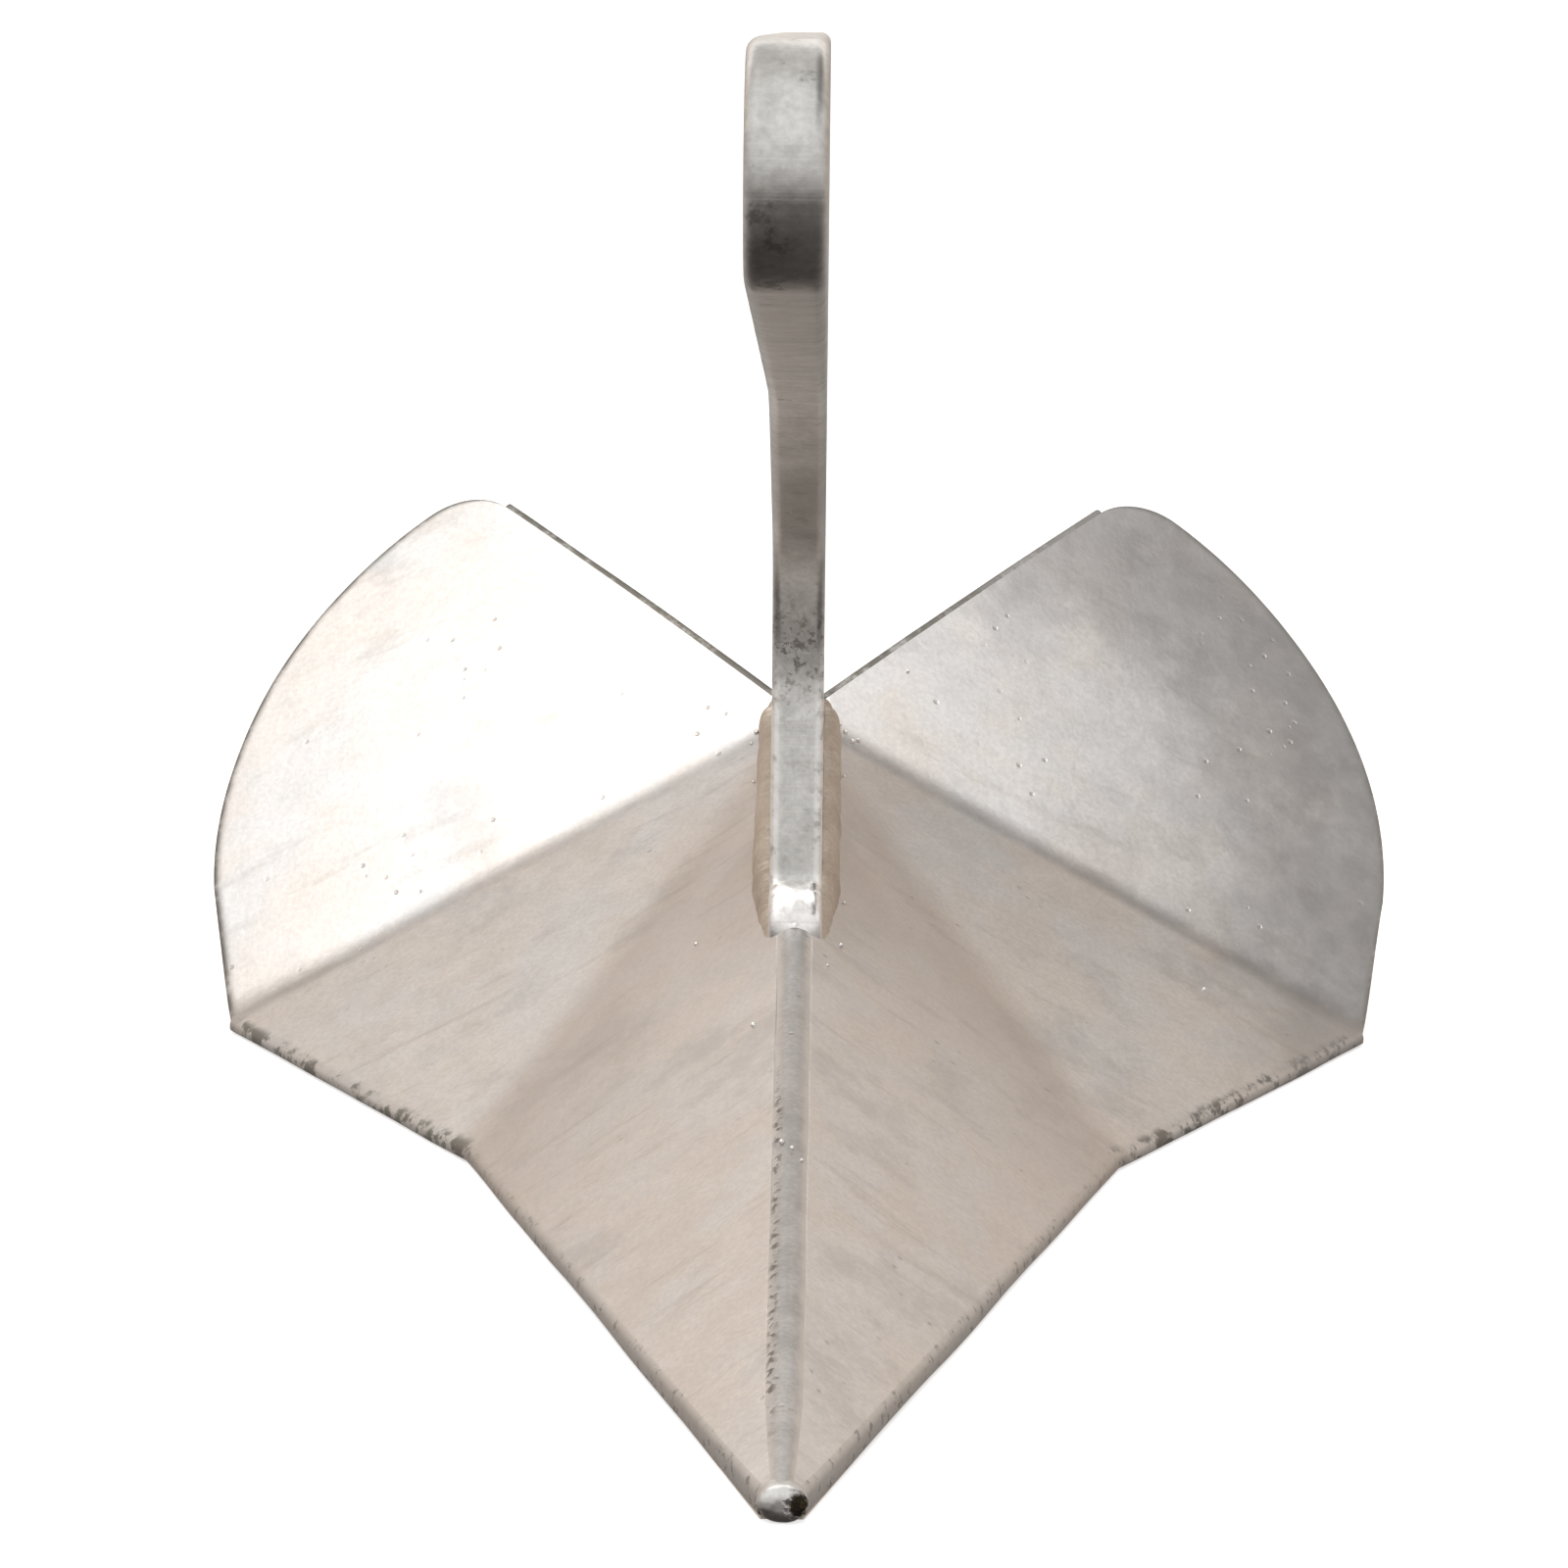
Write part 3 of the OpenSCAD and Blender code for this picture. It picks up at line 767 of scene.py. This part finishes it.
def zinc(name, light, dark, roughness=(0.42, 0.47), peel=0.25, extras=None):
    """Hot-dip galvanised steel with soft mottling, orange peel and specks; extras adds what a piece has."""
    mat = bpy.data.materials.new(name)
    mat.use_nodes = True
    tree = mat.node_tree
    tree.nodes.clear()
    g = Nodes(tree)
    out = g.add("ShaderNodeOutputMaterial")
    bsdf = g.add("ShaderNodeBsdfPrincipled")
    tree.links.new(bsdf.outputs[0], out.inputs[0])
    bsdf.inputs["Metallic"].default_value = 1.0
    where = g.add("ShaderNodeTexCoord").outputs["Object"]
    clouds = g.noise(where, 14.0, 4.0)
    mottle = g.noise(where, 90.0, 5.0, 0.65)
    grain = g.noise(where, 650.0, 3.0, 0.6)
    tone = g.math("ADD", g.math("MULTIPLY", clouds, 0.45), g.math("MULTIPLY", mottle, 0.55))
    shade = g.mix(g.span(tone, 0.36, 0.64), dark, light)
    fine = g.span(grain, 0.30, 0.70, 0.90, 1.06)
    shade = g.add("ShaderNodeVectorMath", {0: shade}, operation="SCALE").outputs[0]
    shade.node.inputs["Scale"].default_value = 1.0
    tree.links.new(fine, shade.node.inputs["Scale"])
    rough = g.span(mottle, 0.3, 0.7, *roughness)
    speck_cells = g.add("ShaderNodeTexVoronoi", {"Vector": where, "Scale": 150.0})
    speck_where = g.span(g.noise(where, 30.0, 2.0), 0.54, 0.66)
    speck = g.math("MULTIPLY", g.span(speck_cells.outputs["Distance"], 0.07, 0.16, 1.0, 0.0), speck_where)
    height = g.math("MULTIPLY", grain, 0.25 * peel)
    height = g.math("ADD", height, g.math("MULTIPLY", g.noise(where, 260.0, 2.0), 0.5 * peel))
    height = g.math("ADD", height, g.math("MULTIPLY", mottle, 0.2 * peel))
    height = g.math("SUBTRACT", height, g.math("MULTIPLY", speck, 0.5))
    shade = g.mix(g.math("MULTIPLY", speck, 0.55), shade, colour(0.20, 0.17, 0.14))
    if extras:
        shade, rough, height = extras(g, where, shade, rough, height)
    bump = g.add("ShaderNodeBump", {"Height": height, "Strength": 0.55, "Distance": 0.0006})
    g.put(bsdf.inputs["Base Color"], shade)
    g.put(bsdf.inputs["Roughness"], rough)
    g.put(bsdf.inputs["Normal"], bump.outputs[0])
    return mat


def blade_extras(g, where, shade, rough, height):
    """Dark pitted edges, brown-tinted painted shade by the foot and along the inner fold, stains, painted
    shade on the outer wing and along the wing fold, and faint run marks.
    """
    patch = g.noise(where, 130.0, 4.0, 0.65)
    edge = g.attribute("edge")
    leading = g.attribute("leading")
    on_wing = g.attribute("on_wing")
    pitted = g.math("MULTIPLY", g.span(patch, 0.47, 0.58), g.span(leading, 0.1, 0.8))
    cloud_place = g.span(g.noise(where, 24.0, 3.0), 0.38, 0.62)
    clouds = g.mix(cloud_place, colour(0.80, 0.71, 0.64), colour(0.76, 0.76, 0.77))
    shade = g.mix(0.35, shade, clouds)
    shade = g.mix(g.math("MULTIPLY", g.span(edge, 0.15, 0.6), 0.5), shade, colour(0.52, 0.51, 0.49))
    sparse = g.math("MULTIPLY", g.span(edge, 0.15, 0.6), g.span(g.noise(where, 260.0, 4.0, 0.7), 0.55, 0.64))
    broken = g.span(g.noise(where, 110.0, 4.0, 0.7), 0.30, 0.55, 0.30, 0.9)
    outline = g.math("MULTIPLY", g.span(edge, 0.2, 0.6), broken)
    rim = g.math("MAXIMUM", g.math("MULTIPLY", sparse, 0.6), g.math("MULTIPLY", outline, on_wing))
    dirt = g.math("MAXIMUM", g.math("MULTIPLY", pitted, 0.75), g.math("MULTIPLY", rim, 0.92))
    shade = g.mix(dirt, shade, colour(0.13, 0.12, 0.095))
    stain = g.math("MULTIPLY", g.span(g.noise(where, 17.0, 6.0, 0.72), 0.52, 0.66), 0.34)
    shade = g.mix(stain, shade, colour(0.47, 0.46, 0.45))
    # Painted shade over the outer wing, with a wandering edge.
    wander = g.span(g.noise(where, 30.0, 5.0, 0.65), 0.3, 0.7, -0.35, 0.35)
    cloudy = g.math("ADD", g.attribute("painted_shade_patch"), wander)
    painted_shade_patch = g.math("MULTIPLY", g.span(cloudy, 0.1, 1.0), g.attribute("painted_shade_patch"))
    shade = g.mix(g.math("MULTIPLY", painted_shade_patch, 0.62), shade, colour(0.40, 0.385, 0.38))
    # Painted shade along the wing fold.
    fold = g.math("MULTIPLY", g.span(g.attribute("wing_fold"), 0.2, 1.0), 0.45)
    shade = g.mix(fold, shade, colour(0.42, 0.39, 0.37))
    # Painted shade, tinted brown, by the foot and along the inner fold.
    shade = g.mix(g.math("MULTIPLY", g.attribute("crease_shade_and_weld_film"), 0.75), shade, colour(0.50, 0.42, 0.36))
    streaks = g.noise(g.scaled(where, 26.0, 150.0, 26.0, (0, 0, 0.5)), 1.0, 3.0, 0.6)
    streak = g.math("MULTIPLY", g.span(streaks, 0.56, 0.72), 0.18)
    shade = g.mix(streak, shade, colour(0.36, 0.32, 0.28))
    height = g.math("SUBTRACT", height, g.math("MULTIPLY", dirt, 0.6))
    rough = g.math("ADD", rough, g.math("MULTIPLY", dirt, 0.2))
    return shade, rough, height


def shank_extras(g, where, shade, rough, height):
    """Drag lines and blotches, with painted shade across the bend, burnt specks and, on the front corners, a
    painted highlight with worn zinc.
    """
    lines = g.noise(g.scaled(where, 6.0, 60.0, 420.0), 1.0, 3.0, 0.6)
    height = g.math("ADD", height, g.math("MULTIPLY", lines, 0.25))
    blotch = g.span(g.noise(where, 75.0, 5.0, 0.7), 0.60, 0.68)
    shade = g.mix(g.math("MULTIPLY", blotch, 0.55), shade, colour(0.20, 0.19, 0.17))
    # Painted shade across the bend of the front edge.
    shade = g.mix(g.math("MULTIPLY", g.attribute("painted_shade_patch"), 0.65), shade, colour(0.33, 0.32, 0.30))
    specks = g.span(g.noise(where, 420.0, 4.0, 0.7), 0.50, 0.60)
    shade = g.mix(g.math("MULTIPLY", g.attribute("burn"), g.math("MULTIPLY", specks, 0.7)), shade,
                  colour(0.16, 0.14, 0.11))
    # Painted highlight with worn zinc on the rounded front corners.
    ragged = g.span(g.noise(where, 240.0, 3.0, 0.6), 0.34, 0.50)
    shade = g.mix(g.math("MULTIPLY", g.attribute("edge_highlight_and_wear"), g.math("MULTIPLY", ragged, 0.85)), shade,
                  colour(0.98, 0.96, 0.93))
    return shade, rough, height


def weld_extras(g, where, shade, rough, height):
    """Brownish burnt film."""
    crease_shade_and_weld_film = g.span(g.noise(where, 55.0, 3.0), 0.40, 0.62)
    shade = g.mix(g.math("MULTIPLY", crease_shade_and_weld_film, 0.4), shade, colour(0.46, 0.37, 0.29))
    return shade, rough, height


def seam_extras(g, where, shade, rough, height):
    """Grey crest fading into the plates on both sides, with a line of pits low down on the left."""
    soft = g.math("ADD", g.attribute("crest"), g.span(g.noise(where, 120.0, 3.0), 0.2, 0.8, -0.25, 0.25))
    shade = g.mix(g.span(soft, 0.05, 0.95), colour(0.70, 0.66, 0.62), shade)
    pits = g.math("MULTIPLY", g.attribute("pit_line"), g.span(g.noise(where, 330.0, 3.0), 0.50, 0.60))
    shade = g.mix(g.math("MULTIPLY", pits, 0.8), shade, colour(0.14, 0.12, 0.10))
    return shade, rough, g.math("SUBTRACT", height, g.math("MULTIPLY", pits, 0.8))


def nose_extras(g, where, shade, rough, height):
    """Rust patch on the right of the blunt face."""
    rust_place = (0.0042, nose_y + 0.001, 0.0046)
    spot = g.add("ShaderNodeVectorMath", {0: where, 1: rust_place}, operation="DISTANCE")
    near = g.span(g.math("ADD", spot.outputs["Value"],
                         g.math("MULTIPLY", g.noise(where, 700.0, 3.0), 0.0042)), 0.0042, 0.0062, 1.0, 0.0)
    rust = g.mix(g.span(g.noise(where, 1700.0, 4.0, 0.7), 0.55, 0.68), colour(0.045, 0.038, 0.028),
                 colour(0.20, 0.13, 0.06))
    shade = g.mix(near, shade, rust)
    rough = g.math("ADD", rough, g.math("MULTIPLY", near, 0.3))
    height = g.math("SUBTRACT", height, g.math("MULTIPLY", near, 1.2))
    return shade, rough, height


ZINC_LIGHT = colour(0.83, 0.80, 0.77)
ZINC_DARK = colour(0.74, 0.71, 0.68)
zinc_plate = zinc("zinc_plate", ZINC_LIGHT, ZINC_DARK, peel=0.45, extras=blade_extras)
zinc_shank = zinc("zinc_shank", colour(0.74, 0.73, 0.71), colour(0.52, 0.51, 0.49), extras=shank_extras)
zinc_seam = zinc("zinc_seam", colour(0.58, 0.56, 0.545), colour(0.47, 0.455, 0.44),
                 peel=0.3, extras=seam_extras)
zinc_weld = zinc("zinc_weld", colour(0.62, 0.54, 0.46), colour(0.46, 0.39, 0.32),
                 (0.45, 0.65), 0.4, weld_extras)
zinc_toe = zinc("zinc_toe", colour(0.90, 0.88, 0.86), colour(0.72, 0.70, 0.68), (0.22, 0.38), 0.3)
zinc_nose = zinc("zinc_nose", colour(0.80, 0.79, 0.77), colour(0.58, 0.57, 0.55),
                 (0.25, 0.45), 0.5, nose_extras)
lead_grey = zinc("lead_grey", colour(0.32, 0.33, 0.36), colour(0.24, 0.25, 0.28))


def dress(obj, mat):
    obj.data.materials.clear()
    obj.data.materials.append(mat)


for piece in blades:
    dress(piece, zinc_plate)
dress(shank_plate, zinc_shank)
dress(ridge_seam, zinc_seam)
dress(nose_bead, zinc_nose)
dress(toe_bead, zinc_toe)
dress(weld_spatter, zinc_toe)
for piece in shank_fillets:
    dress(piece, zinc_weld)

# No piece above stands for these nodes, so the CAD's own meshes are shown
cad_nodes = {
    zinc_seam: ("nose_block",),
    zinc_shank: ("ballast_cover", "ballast_bulkhead"),
    lead_grey: ("ballast_lead",),
    zinc_weld: ("cover_weld_left", "cover_weld_right", "bulkhead_weld", "keel_weld_left", "keel_weld_right")}
for mat, node_names in cad_nodes.items():
    for node_name in node_names:
        node_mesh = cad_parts[node_name].data
        node_mesh.materials.clear()
        node_mesh.materials.append(mat)


# ---------------------------------------------------------------- floor and light
# Brightness of the surround before and behind the anchor, as (height from -1 down to 1 up, red, green, blue)
FRONT_LEVELS = [
    (-1.0, 0.05, 0.045, 0.04), (-0.45, 0.07, 0.06, 0.055), (-0.22, 0.26, 0.245, 0.23),
    (0.0, 0.72, 0.70, 0.68), (0.2, 0.98, 0.97, 0.96), (0.75, 1.2, 1.2, 1.2), (1.0, 1.2, 1.19, 1.17)]
BACK_LEVELS = [
    (-1.0, 0.04, 0.036, 0.034), (-0.66, 0.13, 0.115, 0.105), (-0.25, 0.46, 0.42, 0.39),
    (0.0, 0.60, 0.54, 0.49), (0.3, 0.84, 0.74, 0.665), (0.5, 0.84, 0.76, 0.69),
    (0.68, 0.42, 0.40, 0.38), (1.0, 0.9, 0.88, 0.86)]
# Strength to the left and to the right, and of the dark upper right
SIDE_LEVELS = (1.0, 0.99)
DARK_QUARTER = 0.05


def make_floor():
    bm = bmesh.new()
    bmesh.ops.create_circle(bm, cap_ends=True, radius=30.0, segments=96)
    me = bpy.data.meshes.new("floor")
    bm.to_mesh(me)
    bm.free()
    obj = bpy.data.objects.new("floor", me)
    scene.collection.objects.link(obj)
    mat = bpy.data.materials.new("floor_white")
    mat.use_nodes = True
    bsdf = mat.node_tree.nodes["Principled BSDF"]
    bsdf.inputs["Base Color"].default_value = colour(0.86, 0.86, 0.86)
    bsdf.inputs["Roughness"].default_value = 0.9
    bsdf.inputs["Specular IOR Level"].default_value = 0.0
    bsdf.inputs["Emission Color"].default_value = colour(1.0, 0.99, 0.98)
    bsdf.inputs["Emission Strength"].default_value = 0.55
    me.materials.append(mat)
    obj.visible_glossy = False


def area_light(name, place, aim, size, power):
    data = bpy.data.lights.new(name, "AREA")
    data.shape = "RECTANGLE"
    data.size, data.size_y = size
    data.energy = power
    obj = bpy.data.objects.new(name, data)
    scene.collection.objects.link(obj)
    obj.location = place
    obj.rotation_mode = "QUATERNION"
    obj.rotation_quaternion = (Vector(aim) - Vector(place)).to_track_quat("-Z", "Y")
    obj.visible_camera = False


def make_world():
    """Soft surround: dim below the horizon, warm and bright low down behind, dark high up on the right."""
    world = bpy.data.worlds.new("studio")
    scene.world = world
    world.use_nodes = True
    tree = world.node_tree
    g = Nodes(tree)
    back = tree.nodes["Background"]
    direction = g.add("ShaderNodeTexCoord").outputs["Generated"]
    axes = g.add("ShaderNodeSeparateXYZ", {0: direction})
    height = g.span(axes.outputs["Z"], -1.0, 1.0)
    height.node.interpolation_type = "LINEAR"
    front = g.ramp(height, FRONT_LEVELS)
    behind = g.ramp(height, BACK_LEVELS)
    tint = g.mix(g.span(axes.outputs["Y"], -0.25, 0.45), front, behind)
    g.put(back.inputs["Color"], tint)
    side = g.span(axes.outputs["X"], -0.6, 0.6, *SIDE_LEVELS)
    rightward, upward = g.span(axes.outputs["X"], 0.14, 0.45), g.span(axes.outputs["Z"], 0.58, 0.74)
    upper_right = g.math("MULTIPLY", rightward, upward)
    side = g.math("MULTIPLY", side, g.span(upper_right, 0.0, 1.0, 1.0, DARK_QUARTER))
    g.put(back.inputs["Strength"], side)


make_floor()
make_world()
area_light("key", (-0.095, nose_y + 0.38, 0.735), (-0.095, nose_y + 0.381, 0.0), (1.21, 0.42), 2.4)

scene.view_settings.view_transform = "Standard"
